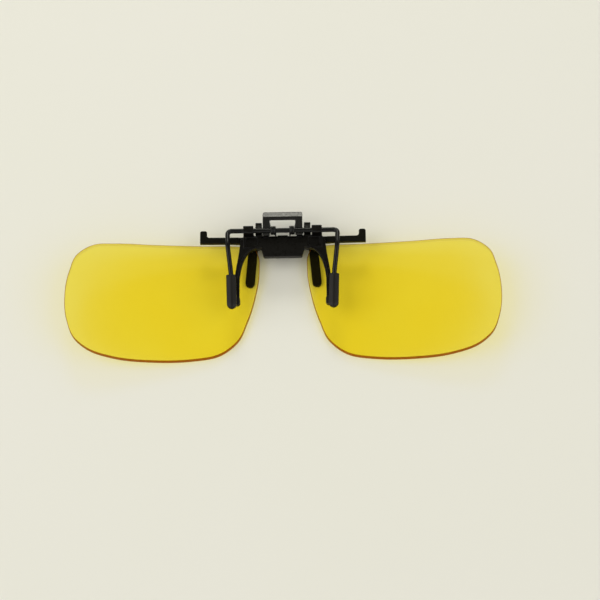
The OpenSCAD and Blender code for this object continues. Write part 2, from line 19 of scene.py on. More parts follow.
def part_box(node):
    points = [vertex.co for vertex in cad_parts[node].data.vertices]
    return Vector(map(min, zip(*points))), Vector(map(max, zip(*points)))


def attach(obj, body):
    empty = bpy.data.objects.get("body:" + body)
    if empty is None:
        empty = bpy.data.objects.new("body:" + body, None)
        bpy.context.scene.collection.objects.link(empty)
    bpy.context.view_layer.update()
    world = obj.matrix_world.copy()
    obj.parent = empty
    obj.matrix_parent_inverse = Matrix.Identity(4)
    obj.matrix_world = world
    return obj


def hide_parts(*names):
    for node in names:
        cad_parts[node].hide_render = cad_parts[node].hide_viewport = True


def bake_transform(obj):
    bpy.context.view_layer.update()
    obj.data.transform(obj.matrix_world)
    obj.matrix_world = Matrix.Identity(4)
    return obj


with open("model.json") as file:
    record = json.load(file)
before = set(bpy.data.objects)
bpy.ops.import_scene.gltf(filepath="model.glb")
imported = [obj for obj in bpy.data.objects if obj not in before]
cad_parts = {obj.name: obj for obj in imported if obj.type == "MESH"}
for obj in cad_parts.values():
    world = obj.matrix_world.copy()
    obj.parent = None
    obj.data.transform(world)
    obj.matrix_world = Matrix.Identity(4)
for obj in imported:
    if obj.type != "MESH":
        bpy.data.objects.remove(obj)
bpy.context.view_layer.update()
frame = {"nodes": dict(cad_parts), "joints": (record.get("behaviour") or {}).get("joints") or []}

MM = 0.001
JOINT_PLACES = {joint["name"]: [c / MM for c in joint["pos_m"]] for joint in frame["joints"]}
PIN_Y, PIN_Z = JOINT_PLACES["flip"][1:]
AXLE_Y, AXLE_Z = JOINT_PLACES["claw_grip"][1:]
LENS_Y = sum(corner.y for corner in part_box("lens_left")) / 2 / MM
MIRROR_X = np.array([-1, 1, 1])
LOG = logging.getLogger("clip_on")

# The share of the radius and the distance from the end, in radii, of each ring of a tube's rounded end
TUBE_END = ((0.55, 0.0), (0.85, 0.15), (1.0, 0.45))
# The part of a noise's range that nearly all of it stays in
NOISE_RANGE = (0.3, 0.7)
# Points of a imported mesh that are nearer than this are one, in mm
WELD = 0.002
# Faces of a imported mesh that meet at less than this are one, in degrees
FLAT = 0.5

Point = tuple[float, float, float]
Colour = tuple[float, float, float]


class Side(Enum):
    """The two sides of the part, as the sign of X."""

    LEFT = -1
    RIGHT = 1

    @property
    def word(self) -> str:
        """The side's name as it stands in the names of the nodes."""
        return self.name.lower()


class Body(Enum):
    """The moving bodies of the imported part."""

    LENSES = "lenses"
    CLAMP = "clamp"
    CLAW = "claw"


class LensSurface(Enum):
    """The surfaces of a lens, as the numbers of their material slots."""

    CLEAR = 0
    RIM = 1
    LIP = 2


# Finishes


class Sheet:
    """A material's node tree, with short ways to add and join its nodes."""

    def __init__(self, name: str) -> None:
        """Makes the material with an empty tree and an output.

        Args:
            name: the material's name.
        """
        self.material = bpy.data.materials.new(name)
        self.material.use_nodes = True
        self.tree = self.material.node_tree
        self.tree.nodes.clear()
        self.output = self.tree.nodes.new("ShaderNodeOutputMaterial")

    def add(self, kind: str, **sockets: object) -> bpy.types.Node:
        """Adds a node and sets or links its inputs.

        Args:
            kind: the node's type name, without the prefix ShaderNode.
            sockets: input names, with underscores for spaces, and a value or an output socket for each.

        Returns:
            The new node.
        """
        node = self.tree.nodes.new("ShaderNode" + kind)
        for key, value in sockets.items():
            self.feed(node.inputs[key.replace("_", " ")], value)
        return node

    def feed(self, socket: bpy.types.NodeSocket, value: object) -> None:
        """Links an output socket to an input, or sets the input's value.

        Args:
            socket: the input.
            value: the output socket, colour or number for it.
        """
        if isinstance(value, bpy.types.NodeSocket):
            self.tree.links.new(value, socket)
        elif isinstance(value, tuple) and len(value) == 3 and socket.type == "RGBA":
            socket.default_value = (*value, 1.0)
        else:
            socket.default_value = value

    def noise(
        self, size: float, detail: float = 3.0, rough: float = 0.55, stretch: Point = (1, 1, 1)
    ) -> bpy.types.NodeSocket:
        """A noise in the object's own space.

        Args:
            size: the size of one feature, in mm.
            detail: how many finer layers it has.
            rough: how strong the finer layers are.
            stretch: how much longer the features are along each axis.

        Returns:
            The socket with the noise from 0 to 1.
        """
        place = self.add("TexCoord").outputs["Object"]
        mapping = self.add("Mapping", Vector=place, Scale=tuple(1 / s for s in stretch))
        scale = 1 / (size * MM)
        texture = self.add("TexNoise", Vector=mapping.outputs[0], Scale=scale, Detail=detail, Roughness=rough)
        return texture.outputs["Fac"]

    def spread(
        self, value: bpy.types.NodeSocket, low: float, high: float, span: tuple[float, float] = NOISE_RANGE
    ) -> bpy.types.NodeSocket:
        """Maps a span of values to a range of numbers.

        Args:
            value: the socket with the value.
            low: the number at the start of the span.
            high: the number at its end.
            span: the values between which the number changes.

        Returns:
            The socket with the number.
        """
        start, end = span
        node = self.add("MapRange", Value=value, From_Min=start, From_Max=end, To_Min=low, To_Max=high)
        return node.outputs["Result"]

    def blend(self, share: object, first: object, second: object) -> bpy.types.NodeSocket:
        """Mixes two colours.

        Args:
            share: the share of the second colour, as a number or a socket.
            first: the first colour.
            second: the second colour.

        Returns:
            The socket with the mixed colour.
        """
        node = self.tree.nodes.new("ShaderNodeMix")
        node.data_type = "RGBA"
        for socket, value in ((node.inputs[0], share), (node.inputs[6], first), (node.inputs[7], second)):
            self.feed(socket, value)
        return node.outputs[2]

    def mix(self, share: object, first: bpy.types.Node, second: bpy.types.Node) -> bpy.types.NodeSocket:
        """Mixes two shaders.

        Args:
            share: the share of the second shader, as a number or a socket.
            first: the first shader's node.
            second: the second shader's node.

        Returns:
            The socket with the mixed shader.
        """
        node = self.add("MixShader", Fac=share)
        self.feed(node.inputs[1], first.outputs[0])
        self.feed(node.inputs[2], second.outputs[0])
        return node.outputs[0]

    def bump(
        self, height: bpy.types.NodeSocket, depth: float, strength: float = 1.0, below: object = None
    ) -> bpy.types.NodeSocket:
        """A bumped normal from a height.

        Args:
            height: the socket with the height from 0 to 1.
            depth: the height of the bumps, in mm.
            strength: how much of the bump counts.
            below: the normal that it is laid on, or None.

        Returns:
            The socket with the normal.
        """
        node = self.add("Bump", Height=height, Distance=depth * MM, Strength=strength)
        if below is not None:
            self.feed(node.inputs["Normal"], below)
        return node.outputs["Normal"]

    def on_outside(self, share: object) -> bpy.types.NodeSocket:
        """A share that counts only where a surface is seen from outside, and casts no shadow.

        Args:
            share: the share, as a number or a socket.

        Returns:
            The socket with the share that counts.
        """
        outside = self.add("Math", Value=self.add("LightPath").outputs["Is Camera Ray"])
        outside.operation = "SUBTRACT"
        outside.use_clamp = True
        self.feed(outside.inputs[1], self.add("NewGeometry").outputs["Backfacing"])
        counted = self.add("Math", Value=share)
        counted.operation = "MULTIPLY"
        self.feed(counted.inputs[1], outside.outputs[0])
        return counted.outputs[0]

    def finish(self, surface: bpy.types.NodeSocket) -> bpy.types.Material:
        """Joins the shader to the output.

        Args:
            surface: the shader's socket.

        Returns:
            The finished material.
        """
        self.tree.links.new(surface, self.output.inputs["Surface"])
        return self.material


@dataclass(frozen=True)
class MouldedPlastic:
    """Black injection-moulded plastic with a fine spark grain and faint flow marks."""

    name: str
    colour: Colour
    pale: Colour
    roughness: float
    level: float
    grain: float = 0.0025
    grain_size: float = 0.16
    mark_size: float = 1.1
    flow_size: float = 5.0
    flow_stretch: Point = (2.2, 1, 1)
    smoother: float = 0.06
    rougher: float = 0.08

    def make(self) -> bpy.types.Material:
        """Builds the material.

        Returns:
            The finished material.
        """
        sheet = Sheet(self.name)
        flow = sheet.noise(self.flow_size, 3.0, 0.6, self.flow_stretch)
        fine = sheet.noise(self.grain_size, 2.0, 0.5)
        marks = sheet.noise(self.mark_size, 4.0, 0.65)
        tone = sheet.blend(sheet.spread(flow, 0.0, 1.0), self.colour, self.pale)
        rough = sheet.spread(marks, self.roughness - self.smoother, self.roughness + self.rougher)
        normal = sheet.bump(marks, self.grain * 2, 0.5, sheet.bump(fine, self.grain))
        look = {"Base_Color": tone, "Roughness": rough, "Normal": normal, "Specular_IOR_Level": self.level}
        return sheet.finish(sheet.add("BsdfPrincipled", **look).outputs[0])


@dataclass(frozen=True)
class MouldedRubber:
    """Matt black rubber, dusty in its pores."""

    name: str
    colour: Colour
    dust: Colour
    pore_size: float = 0.22
    pore_depth: float = 0.012
    patch_size: float = 2.4
    patch_stretch: Point = (1, 2.5, 1)
    dusty: float = 0.8
    smooth: float = 0.36
    rough: float = 0.5
    level: float = 0.26

    def make(self) -> bpy.types.Material:
        """Builds the material.

        Returns:
            The finished material.
        """
        sheet = Sheet(self.name)
        pores = sheet.noise(self.pore_size, 4.0, 0.6)
        patches = sheet.noise(self.patch_size, 3.0, 0.6, self.patch_stretch)
        tone = sheet.blend(sheet.spread(patches, 0.0, self.dusty), self.colour, self.dust)
        rough = sheet.spread(pores, self.smooth, self.rough)
        normal = sheet.bump(pores, self.pore_depth, 0.5)
        look = {"Base_Color": tone, "Roughness": rough, "Normal": normal, "Specular_IOR_Level": self.level}
        return sheet.finish(sheet.add("BsdfPrincipled", **look).outputs[0])


@dataclass(frozen=True)
class BlackOxideWire:
    """Steel wire under a thin black oxide, with drawing lines and rubbed spots."""

    name: str
    colour: Colour
    rubbed: Colour
    metallic: float = 0.02
    level: float = 0.24
    rub_size: float = 0.9
    rub_share: tuple[float, float] = (-0.5, 0.6)
    line_size: float = 0.12
    line_stretch: Point = (9, 9, 1)
    line_depth: float = 0.003
    smooth: float = 0.14
    rough: float = 0.26

    def make(self) -> bpy.types.Material:
        """Builds the material.

        Returns:
            The finished material.
        """
        sheet = Sheet(self.name)
        rubs = sheet.noise(self.rub_size, 5.0, 0.7)
        lines = sheet.noise(self.line_size, 3.0, 0.6, self.line_stretch)
        tone = sheet.blend(sheet.spread(rubs, *self.rub_share), self.colour, self.rubbed)
        rough = sheet.spread(lines, self.smooth, self.rough)
        normal = sheet.bump(lines, self.line_depth, 0.6)
        look = {"Base_Color": tone, "Roughness": rough, "Normal": normal, "Specular_IOR_Level": self.level}
        return sheet.finish(sheet.add("BsdfPrincipled", Metallic=self.metallic, **look).outputs[0])


@dataclass(frozen=True)
class DrawnSteel:
    """Plain spring steel with fine lines along the drawing."""

    name: str
    colour: Colour
    dark: Colour
    roughness: float
    line_size: float = 0.1
    line_stretch: Point = (14, 1, 1)
    line_depth: float = 0.0015
    stain_size: float = 1.4
    stained: float = 0.7
    smoother: float = 0.06
    rougher: float = 0.1

    def make(self) -> bpy.types.Material:
        """Builds the material.

        Returns:
            The finished material.
        """
        sheet = Sheet(self.name)
        lines = sheet.noise(self.line_size, 3.0, 0.6, self.line_stretch)
        stains = sheet.noise(self.stain_size, 4.0, 0.6)
        tone = sheet.blend(sheet.spread(stains, 0.0, self.stained), self.colour, self.dark)
        rough = sheet.spread(lines, self.roughness - self.smoother, self.roughness + self.rougher)
        normal = sheet.bump(lines, self.line_depth, 0.6)
        look = {"Base_Color": tone, "Roughness": rough, "Normal": normal}
        return sheet.finish(sheet.add("BsdfPrincipled", Metallic=1.0, **look).outputs[0])


@dataclass(frozen=True)
class TintedPlastic:
    """Clear tinted lens plastic: each surface lets a share of the light through and reflects a little."""

    name: str
    tint: Colour
    deep: Colour
    body: Colour
    ior: float = 1.25
    smooth: float = 0.03
    rough: float = 0.08
    cloud_size: float = 16.0
    cloudy: float = 0.6
    smear_size: float = 3.5
    smear_stretch: Point = (2, 1, 1)
    smear_depth: float = 0.002

    def make(self) -> bpy.types.Material:
        """Builds the material.

        Returns:
            The finished material.
        """
        sheet = Sheet(self.name)
        cloud = sheet.noise(self.cloud_size, 2.0, 0.5)
        tone = sheet.blend(sheet.spread(cloud, 0.0, self.cloudy), self.tint, self.deep)
        smear = sheet.noise(self.smear_size, 4.0, 0.6, self.smear_stretch)
        clear = sheet.add("BsdfTransparent", Color=tone)
        rough = sheet.spread(smear, self.smooth, self.rough)
        normal = sheet.bump(smear, self.smear_depth, 0.3)
        look = {"Base_Color": self.body, "Roughness": rough, "Normal": normal, "Specular_IOR_Level": 1.0}
        gloss = sheet.add("BsdfPrincipled", **look)
        share = sheet.on_outside(sheet.add("Fresnel", IOR=self.ior).outputs[0])
        return sheet.finish(sheet.mix(share, clear, gloss))


@dataclass(frozen=True)
class LensEdge:
    """Ground edge of a tinted lens: the light that it gathers from inside makes it orange-brown."""

    name: str
    colour: Colour
    dark: Colour
    inside: Colour
    cover: float
    # Painted shade: the darker olive that the edge is painted where it is seen at a glancing angle
    glancing_shade: Colour = (0.4, 0.3, 0.045)
    glancing_shade_span: tuple[float, float] = (0.7, 0.92)
    chatter_size: float = 0.5
    chatter_stretch: Point = (1, 1, 3)
    chatter_depth: float = 0.01
    darkened: float = 0.7
    roughness: float = 0.4
    level: float = 0.02

    def make(self) -> bpy.types.Material:
        """Builds the material.

        Returns:
            The finished material.
        """
        sheet = Sheet(self.name)
        chatter = sheet.noise(self.chatter_size, 3.0, 0.6, self.chatter_stretch)
        glow = sheet.blend(sheet.spread(chatter, 0.0, self.darkened), self.colour, self.dark)
        # Painted shade: the edge's orange glow is painted over with the darker olive the more glancingly it
        # is seen
        facing = sheet.add("LayerWeight", Blend=0.5).outputs["Facing"]
        tone = sheet.blend(sheet.spread(facing, 0.0, 1.0, self.glancing_shade_span), glow, self.glancing_shade)
        normal = sheet.bump(chatter, self.chatter_depth, 0.5)
        look = {"Base_Color": tone, "Normal": normal, "Specular_IOR_Level": self.level}
        solid = sheet.add("BsdfPrincipled", Roughness=self.roughness, **look)
        clear = sheet.add("BsdfTransparent", Color=self.inside)
        return sheet.finish(sheet.mix(sheet.on_outside(self.cover), clear, solid))


@dataclass(frozen=True)
class PaleTable:
    """Matt pale board under the part."""

    name: str
    colour: Colour
    warm: Colour
    patch_size: float = 120.0
    fibre_size: float = 0.5
    fibre_depth: float = 0.01
    roughness: float = 0.75
    level: float = 0.1

    def make(self) -> bpy.types.Material:
        """Builds the material.

        Returns:
            The finished material.
        """
        sheet = Sheet(self.name)
        patches = sheet.noise(self.patch_size, 2.0, 0.5)
        fibre = sheet.noise(self.fibre_size, 3.0, 0.6)
        tone = sheet.blend(sheet.spread(patches, 0.0, 1.0), self.colour, self.warm)
        normal = sheet.bump(fibre, self.fibre_depth, 0.25)
        look = {"Base_Color": tone, "Normal": normal, "Specular_IOR_Level": self.level}
        return sheet.finish(sheet.add("BsdfPrincipled", Roughness=self.roughness, **look).outputs[0])


# Mesh tools


def smooth_loop(knots: list[tuple[float, float]], steps: int) -> np.ndarray:
    """A smooth closed curve through its knots.

    Args:
        knots: the corners that the curve runs through.
        steps: how many points stand between two knots.

    Returns:
        The points of the curve, one row each.
    """
    p = np.array(knots, float)
    ahead, back = np.roll(p, -1, 0) - p, p - np.roll(p, 1, 0)
    a, b = np.linalg.norm(back, axis=1)[:, None], np.linalg.norm(ahead, axis=1)[:, None]
    tangent = (back * b / a + ahead * a / b) / (a + b)
    points = []
    for i in range(len(p)):
        j, d = (i + 1) % len(p), b[i]
        for t in np.arange(steps) / steps:
            u, w = t * t, t * t * t
            points.append(
                (2 * w - 3 * u + 1) * p[i] + (w - 2 * u + t) * d * tangent[i]
                + (3 * u - 2 * w) * p[j] + (w - u) * d * tangent[j]
            )
    return np.array(points)


def rounded_path(corners: list[Point], reach: float, steps: int = 8) -> list[np.ndarray]:
    """A path of straight runs with each inner corner rounded.

    Args:
        corners: the corners of the path.
        reach: how far before a corner the bend starts.
        steps: how many pieces a bend has.

    Returns:
        The points of the path.
    """
    p = [np.array(c, float) for c in corners]
    path = [p[0]]
    for before, here, after in zip(p, p[1:], p[2:]):
        a = here + reach * (before - here) / np.linalg.norm(before - here)
        b = here + reach * (after - here) / np.linalg.norm(after - here)
        for k in range(steps + 1):
            t = k / steps
            path.append((1 - t) ** 2 * a + 2 * t * (1 - t) * here + t * t * b)
    path.append(p[-1])
    return path


def round_angles(sides: int) -> np.ndarray:
    """The angles of the corners of a ring, in radians."""
    return np.arange(sides) * 2 * math.pi / sides


def strips(rings: int, sides: int, first: int = 0) -> list[list[int]]:
    """Faces between rings of points that follow each other.

    Args:
        rings: how many rings there are.
        sides: how many points a ring has.
        first: the number of the first ring's first point.

    Returns:
        The corners of each face.
    """
    faces = []
    for ring in range(rings - 1):
        here = first + ring * sides
        for k in range(sides):
            a, b = here + k, here + (k + 1) % sides
            faces.append([a, b, b + sides, a + sides])
    return faces


def place_mesh(name: str, mesh: bpy.types.Mesh) -> bpy.types.Object:
    """Puts a mesh into the scene as an object, smooth all over.

    Args:
        name: the object's name.
        mesh: its mesh.

    Returns:
        The new object.
    """
    mesh.shade_smooth()
    piece = bpy.data.objects.new(name, mesh)
    bpy.context.scene.collection.objects.link(piece)
    return piece


def make_piece(
    name: str, points: np.ndarray, faces: list[list[int]], materials: list[bpy.types.Material]
) -> bpy.types.Object:
    """A mesh object from points in millimetres, smooth all over.

    Args:
        name: the object's name.
        points: the corners, in mm.
        faces: the corners of each face.
        materials: the object's materials, in the order of their slots.

    Returns:
        The new object.
    """
    mesh = bpy.data.meshes.new(name)
    mesh.from_pydata((np.array(points) * MM).tolist(), [], faces)
    shell = bmesh.new()
    shell.from_mesh(mesh)
    bmesh.ops.recalc_face_normals(shell, faces=shell.faces)
    shell.to_mesh(mesh)
    shell.free()
    for material in materials:
        mesh.materials.append(material)
    return place_mesh(name, mesh)


def swept_tube(
    name: str, path: list[np.ndarray], radius: float, sides: int, material: bpy.types.Material
) -> bpy.types.Object:
    """A round tube along a path, with softly rounded ends.

    Args:
        name: the object's name.
        path: the points of its middle line, in mm.
        radius: the tube's radius, in mm.
        sides: how many sides the tube has.
        material: its material.

    Returns:
        The new object.
    """
    p = np.array(path)
    run = np.gradient(p, axis=0)
    run /= np.linalg.norm(run, axis=1)[:, None]
    normal = np.array([0.0, 0.0, 1.0])
    angles = round_angles(sides)
    rings = []
    for i in range(len(p)):
        normal = normal - (normal @ run[i]) * run[i]
        normal /= np.linalg.norm(normal)
        side = np.cross(run[i], normal)
        spokes = radius * (np.cos(angles)[:, None] * normal + np.sin(angles)[:, None] * side)
        if i == 0:
            rings += [p[i] + share * spokes + depth * radius * run[i] for share, depth in TUBE_END]
        elif i == len(p) - 1:
            rings += [p[i] + share * spokes - depth * radius * run[i] for share, depth in TUBE_END[::-1]]
        else:
            rings.append(p[i] + spokes)
    faces = strips(len(rings), sides)
    faces.append(list(range(sides))[::-1])
    faces.append([(len(rings) - 1) * sides + k for k in range(sides)])
    return make_piece(name, np.concatenate(rings), faces, [material])


def rounded_copy(
    node: str, name: str, radius: float, material: bpy.types.Material, sharp: float = 32.0
) -> bpy.types.Object:
    """A copy of a node's mesh whose sharp edges are rounded, as a mould leaves them.

    Args:
        node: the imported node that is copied.
        name: the new object's name.
        radius: the radius of the rounding, in mm.
        material: its material.
        sharp: the least angle of an edge that is rounded, in degrees.

    Returns:
        The new object.
    """
    mesh = bmesh.new()
    mesh.from_mesh(frame["nodes"][node].data)
    bmesh.ops.remove_doubles(mesh, verts=mesh.verts, dist=WELD * MM)
    bmesh.ops.dissolve_limit(mesh, angle_limit=math.radians(FLAT), verts=mesh.verts, edges=mesh.edges)
    edges = [e for e in mesh.edges if len(e.link_faces) == 2 and e.calc_face_angle(0.0) > math.radians(sharp)]
    bmesh.ops.bevel(
        mesh, geom=edges, offset=radius * MM, segments=2, profile=0.5, affect="EDGES", clamp_overlap=False
    )
    data = bpy.data.meshes.new(name)
    mesh.to_mesh(data)
    mesh.free()
    data.materials.append(material)
    piece = place_mesh(name, data)
    weigh = piece.modifiers.new("Weighted normals", "WEIGHTED_NORMAL")
    weigh.keep_sharp = False
    return piece


def settle(piece: bpy.types.Object, body: Body, slot: str, *nodes: str) -> bpy.types.Object:
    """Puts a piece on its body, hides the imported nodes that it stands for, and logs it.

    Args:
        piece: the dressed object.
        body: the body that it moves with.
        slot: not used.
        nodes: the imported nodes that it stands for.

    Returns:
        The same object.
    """
    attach(piece, body.value)
    if nodes:
        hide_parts(*nodes)
    LOG.info("%s rides on %s", piece.name, body.value)
    return piece


# Sub-assemblies


@dataclass
class LensPair:
    """The two tinted lenses, domed plates with a rounded ground edge."""

    width: float = 58.0
    height: float = 36.6
    gap: float = 14.4
    thickness: float = 1.8
    curve: float = 200.0
    wrap: float = 7.0
    tilt: float = 4.5
    middle_y: float = LENS_Y
    edge_round: float = 0.17
    edge_turns: tuple[float, ...] = (0, 30, 60, 90)
    inner_rings: tuple[float, ...] = (0.0, 0.12, 0.3, 0.5, 0.7, 0.85, 0.95)
    knot_steps: int = 8
    outline: list[tuple[float, float]] = field(default_factory=lambda: [
        (-1, 0.62), (-0.99, 0.83), (-0.93, 0.97), (-0.81, 0.99), (-0.4, 1), (0.1, 1), (0.49, 0.99),
        (0.7, 0.95), (0.88, 0.76), (0.955, 0.48), (1, 0), (0.975, -0.37), (0.875, -0.71), (0.74, -0.86),
        (0.49, -0.965), (0.08, -1), (-0.29, -0.968), (-0.57, -0.883), (-0.768, -0.65), (-0.874, -0.3),
        (-0.955, 0.12),
    ])
    plastic: TintedPlastic = TintedPlastic(
        "tinted_lens_plastic", (1.0, 0.944, 0.42), (1.0, 0.932, 0.37), (0.2, 0.19, 0.18)
    )
    rim: LensEdge = LensEdge(
        "ground_lens_edge", (0.36, 0.095, 0.0004), (0.26, 0.065, 0.0003), (0.9, 0.82, 0.35), 0.98
    )
    lip: LensEdge = LensEdge(
        "softened_lens_edge", (0.34, 0.12, 0.001), (0.25, 0.085, 0.0008), (0.95, 0.88, 0.45), 0.9
    )

    @property
    def middle_x(self) -> float:
        """Distance of a lens's middle from the middle of the part."""
        return (self.gap + self.width) / 2

    def sheet_z(self, x: np.ndarray, y: np.ndarray, radius: float) -> np.ndarray:
        """Height of a sphere about the lens's centre of curvature.

        Args:
            x: distances from the middle of the part, in mm.
            y: distances from the middle of the lens, in mm.
            radius: the sphere's radius.

        Returns:
            The heights above the table.
        """
        off_x = x - (self.middle_x - self.curve * math.sin(math.radians(self.wrap)))
        off_y = y + self.curve * math.sin(math.radians(self.tilt))
        return self.curve - np.sqrt(radius**2 - off_x**2 - off_y**2)

    def layer(self, loop: np.ndarray, radius: float, inwards: float, share: float, lift: float) -> np.ndarray:
        """One ring of points at one of the plate's two surfaces.

        Args:
            loop: the outline, from -1 to 1 each way.
            radius: the radius of the surface.
            inwards: how far the ring stands in from the outline, in mm.
            share: the share of the outline's size that it is shrunk to.
            lift: how far it stands above the surface, in mm.

        Returns:
            The points of the right lens, one row each.
        """
        half = np.array([self.width / 2, self.height / 2])
        flat = loop * (half - inwards) * share
        x, y = flat[:, 0] + self.middle_x, flat[:, 1]
        return np.stack([x, y, self.sheet_z(x, y, radius) + lift], 1)

    def layers(self) -> list[np.ndarray]:
        """All rings of the right lens.

        Returns:
            The rings, from the middle of its front over the edge to the middle of its back.
        """
        loop = smooth_loop(self.outline, self.knot_steps)
        front, back, inset = self.curve, self.curve - self.thickness, self.edge_round
        turns = [math.radians(turn) for turn in self.edge_turns]
        edge = [(inset * (1 - math.sin(turn)), inset * (1 - math.cos(turn))) for turn in turns]
        return [
            *(self.layer(loop, front, inset, share, 0.0) for share in self.inner_rings),
            *(self.layer(loop, front, inwards, 1.0, rise) for inwards, rise in edge),
            *(self.layer(loop, back, inwards, 1.0, -rise) for inwards, rise in edge[::-1]),
            *(self.layer(loop, back, inset, share, 0.0) for share in self.inner_rings[::-1]),
        ]

    def surface(self, strip: int) -> LensSurface:
        """The surface that a strip between two rings belongs to.

        Args:
            strip: the number of the strip, counted from the front.

        Returns:
            The surface.
        """
        wall = len(self.inner_rings) + len(self.edge_turns) - 2
        away = abs(strip - wall)
        if away <= 1:
            return LensSurface.RIM
        return LensSurface.LIP if away < len(self.edge_turns) else LensSurface.CLEAR

    def build_side(self, side: Side, looks: list[bpy.types.Material]) -> bpy.types.Object:
        """Builds one lens.

        Args:
            side: the side that the lens stands on.
            looks: the materials of its surfaces.

        Returns:
            The lens, placed and dressed.
        """
        layers = self.layers()
        points = np.concatenate([layers[0][:1], *layers[1:-1], layers[-1][:1]])
        points[:, 0] *= side.value
        points[:, 1] += self.middle_y
        count, rows = len(layers[0]), len(layers) - 2
        last, last_row = len(points) - 1, 1 + (rows - 1) * count
        front_fan = [[0, 1 + (k + 1) % count, 1 + k] for k in range(count)]
        back_fan = [[last, last_row + k, last_row + (k + 1) % count] for k in range(count)]
        middle_slots = [self.surface(strip).value for strip in range(rows - 1) for _ in range(count)]
        fan_slots = [LensSurface.CLEAR.value] * count
        faces = front_fan + strips(rows, count, 1) + back_fan
        piece = make_piece(f"lens_plate_{side.word}", points, faces, looks)
        piece.data.polygons.foreach_set("material_index", fan_slots + middle_slots + fan_slots)
        return settle(piece, Body.LENSES, "lens", f"lens_{side.word}")

    def build(self) -> None:
        """Builds both lenses."""
        looks = [self.plastic.make(), self.rim.make(), self.lip.make()]
        for side in Side:
            self.build_side(side, looks)


@dataclass
class LensBridge:
    """The black moulding that carries both lenses, with the pin and the leaf of its hinge."""

    edge_round: float = 0.12
    leaf_round: float = 0.04
    pin_radius: float = 0.5
    pin_half: float = 8.2
    pin_sides: int = 32
    pin_rings: int = 9
    hinge_y: float = PIN_Y
    hinge_z: float = PIN_Z
    plastic: MouldedPlastic = MouldedPlastic(
        "bridge_plastic_black", (0.002, 0.0019, 0.0004), (0.003, 0.0028, 0.0007), 0.34, 0.15
    )
    steel: DrawnSteel = DrawnSteel("plain_drawn_steel", (0.5, 0.5, 0.49), (0.3, 0.3, 0.3), 0.3)

    def build(self) -> None:
        """Builds the moulding, the hinge pin and the detent leaf."""
        moulding = rounded_copy("lens_bridge", "bridge_moulding", self.edge_round, self.plastic.make())
        settle(moulding, Body.LENSES, "bridge_plastic", "lens_bridge")
        steel = self.steel.make()
        places = np.linspace(-self.pin_half, self.pin_half, self.pin_rings)
        line = [np.array([x, self.hinge_y, self.hinge_z]) for x in places]
        pin = swept_tube("flip_pin", line, self.pin_radius, self.pin_sides, steel)
        settle(pin, Body.LENSES, "bright_steel", "hinge_pin")
        leaf = rounded_copy("detent_leaf", "click_leaf", self.leaf_round, steel)
        settle(leaf, Body.LENSES, "bright_steel", "detent_leaf")


@dataclass
class ClampBase:
    """The black moulding with the tongue, knuckles and jaw legs, and its rubber pads."""

    edge_round: float = 0.17
    pad_round: float = 0.12
    plastic: MouldedPlastic = MouldedPlastic(
        "clamp_plastic_black", (0.0012, 0.0009, 0.0005), (0.0019, 0.0014, 0.0008), 0.3, 0.23, 0.001
    )
    rubber: MouldedRubber = MouldedRubber("pad_rubber_black", (0.006, 0.0055, 0.005), (0.012, 0.011, 0.009))

    def build(self) -> None:
        """Builds the moulding and both pads."""
        moulding = rounded_copy("clamp_base", "clamp_moulding", self.edge_round, self.plastic.make())
        settle(moulding, Body.CLAMP, "clamp_plastic", "clamp_base")
        rubber = self.rubber.make()
        for side in Side:
            node = f"jaw_pad_{side.word}"
            pad = rounded_copy(node, f"leg_pad_{side.word}", self.pad_round, rubber)
            settle(pad, Body.CLAMP, "rubber", node)


